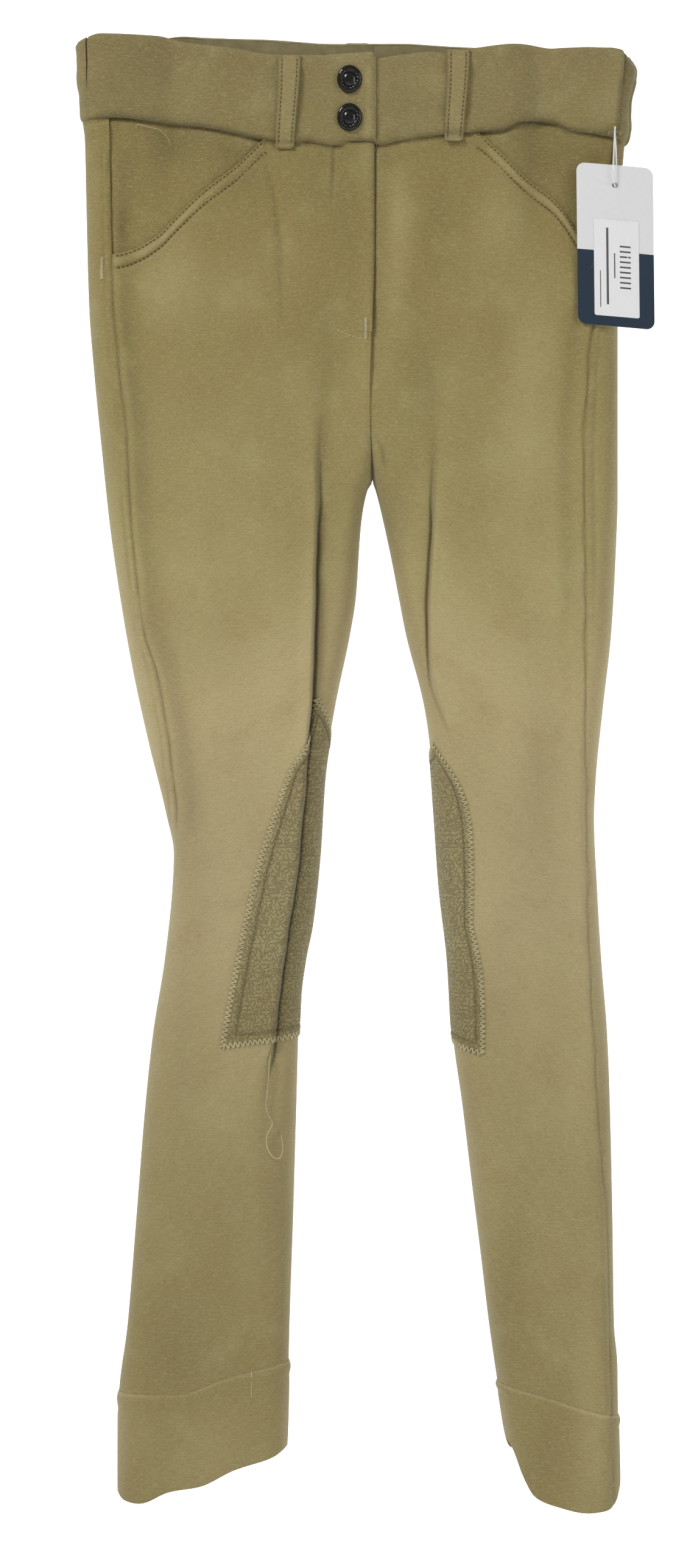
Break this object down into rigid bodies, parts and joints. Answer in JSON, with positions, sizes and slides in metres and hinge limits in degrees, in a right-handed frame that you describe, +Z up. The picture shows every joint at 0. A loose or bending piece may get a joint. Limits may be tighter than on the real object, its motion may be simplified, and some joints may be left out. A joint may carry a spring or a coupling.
{
  "type": "riding breeches",
  "caption": "Khaki children's riding breeches hanging flat, with snap and zip fly, slant pockets, belt loops, knee grip patches, turned cuffs and a blank hang tag.",
  "frame": {"origin": "the hanging point, midway between the two places where the hanger's clips bite the waistband", "axes": "+Z up along the hanging legs, the front of the garment faces -Y, +X is the wearer's left"},
  "size_m": [0.3454, 0.0396, 0.89],
  "materials": {
    "khaki_twill": "matte brushed knit twill",
    "waistband_twill": "matte brushed knit twill, a little darker",
    "facing_cloth": "matte",
    "elastic": "ribbed",
    "label_cloth": "satin weave, blank",
    "pocketing": "matte",
    "knee_grip": "brushed cloth with printed grip",
    "zip_tape": "woven tape",
    "zip_brass": "satin",
    "snap_gunmetal": "dark polished",
    "sewing_thread": "thread",
    "tag_plastic": "clear",
    "tag_board": "coated card, white over dark blue",
    "tag_paper": "matte paper, blank"
  },
  "bodies": {
    "seat": {"waistband_front_right": "waistband_twill", "waistband_front_left": "waistband_twill", "waistband_underlap": "waistband_twill", "waistband_back": "waistband_twill", "waistband_elastic": "elastic", "waistband_facing_right": "facing_cloth", "waistband_facing_left": "facing_cloth", "waistband_facing_back": "facing_cloth", "size_label": "label_cloth", "belt_loop_front_right": "waistband_twill", "belt_loop_front_left": "waistband_twill", "belt_loop_back_right": "waistband_twill", "belt_loop_back_centre": "waistband_twill", "belt_loop_back_left": "waistband_twill", "front_panel_right": "khaki_twill", "front_panel_left": "khaki_twill", "back_panel_right": "khaki_twill", "back_panel_left": "khaki_twill", "pocket_facing_right": "khaki_twill", "pocket_facing_left": "khaki_twill", "pocket_bag_right": "pocketing", "pocket_bag_left": "pocketing", "fly_shield": "facing_cloth", "zip_tape_right": "zip_tape", "zip_tape_left": "zip_tape", "zip_teeth_right": "zip_brass", "zip_teeth_left": "zip_brass", "zip_top_stops": "zip_brass", "zip_bottom_stop": "zip_brass", "snap_studs": "snap_gunmetal", "snap_posts": "snap_gunmetal", "tag_anchor": "sewing_thread"},
    "fly_flap": {"waistband_overlap": "waistband_twill", "fly_placket": "khaki_twill", "snap_caps": "snap_gunmetal", "snap_sockets": "snap_gunmetal"},
    "zip_slider": {"zip_slider": "zip_brass"},
    "zip_pull": {"zip_pull": "zip_brass"},
    "right_thigh": {"thigh_front_right": "khaki_twill", "thigh_back_right": "khaki_twill", "knee_patch_upper_right": "knee_grip"},
    "right_shin": {"shin_front_right": "khaki_twill", "shin_back_right": "khaki_twill", "knee_patch_lower_right": "knee_grip", "cuff_right": "khaki_twill", "loose_thread": "sewing_thread"},
    "left_thigh": {"thigh_front_left": "khaki_twill", "thigh_back_left": "khaki_twill", "knee_patch_upper_left": "knee_grip"},
    "left_shin": {"shin_front_left": "khaki_twill", "shin_back_left": "khaki_twill", "knee_patch_lower_left": "knee_grip", "cuff_left": "khaki_twill"},
    "tag_loop": {"tag_loop": "tag_plastic"},
    "hang_tag": {"tag_card": "tag_board", "tag_sticker": "tag_paper"}
  },
  "joints": [
    {"name": "right_hip", "type": "hinge", "parent": "seat", "child": "right_thigh", "pos_m": [-0.072, -0.012, -0.325], "axis": [-1, 0, 0], "range_deg": [-15, 100]},
    {"name": "right_knee", "type": "hinge", "parent": "right_thigh", "child": "right_shin", "pos_m": [-0.068, 0.0192, -0.505], "axis": [1, 0, 0], "range_deg": [0, 130]},
    {"name": "left_hip", "type": "hinge", "parent": "seat", "child": "left_thigh", "pos_m": [0.089, -0.012, -0.325], "axis": [-1, 0, 0], "range_deg": [-15, 100]},
    {"name": "left_knee", "type": "hinge", "parent": "left_thigh", "child": "left_shin", "pos_m": [0.097, 0.0192, -0.505], "axis": [1, 0, 0], "range_deg": [0, 130]},
    {"name": "fly_flap_fold", "type": "hinge", "parent": "seat", "child": "fly_flap", "pos_m": [-0.0245, -0.012, -0.01], "axis": [0.1781, 0, -0.984], "range_deg": [0, 110]},
    {"name": "zip_slide", "type": "slide", "parent": "seat", "child": "zip_slider", "axis": [0, 0, -1], "range_m": [0, 0.082]},
    {"name": "zip_pull_lift", "type": "hinge", "parent": "zip_slider", "child": "zip_pull", "pos_m": [-0.002, -0.0033, -0.075], "axis": [-1, 0, 0], "range_deg": [0, 28]},
    {"name": "tag_loop_swing", "type": "hinge", "parent": "seat", "child": "tag_loop", "pos_m": [0.1544, -0.017, -0.058], "axis": [-1, 0, 0], "range_deg": [0, 60]},
    {"name": "tag_swing", "type": "hinge", "parent": "tag_loop", "child": "hang_tag", "pos_m": [0.1544, -0.017, -0.091], "axis": [0, 1, 0], "range_deg": [-25, 25]}
  ]
}
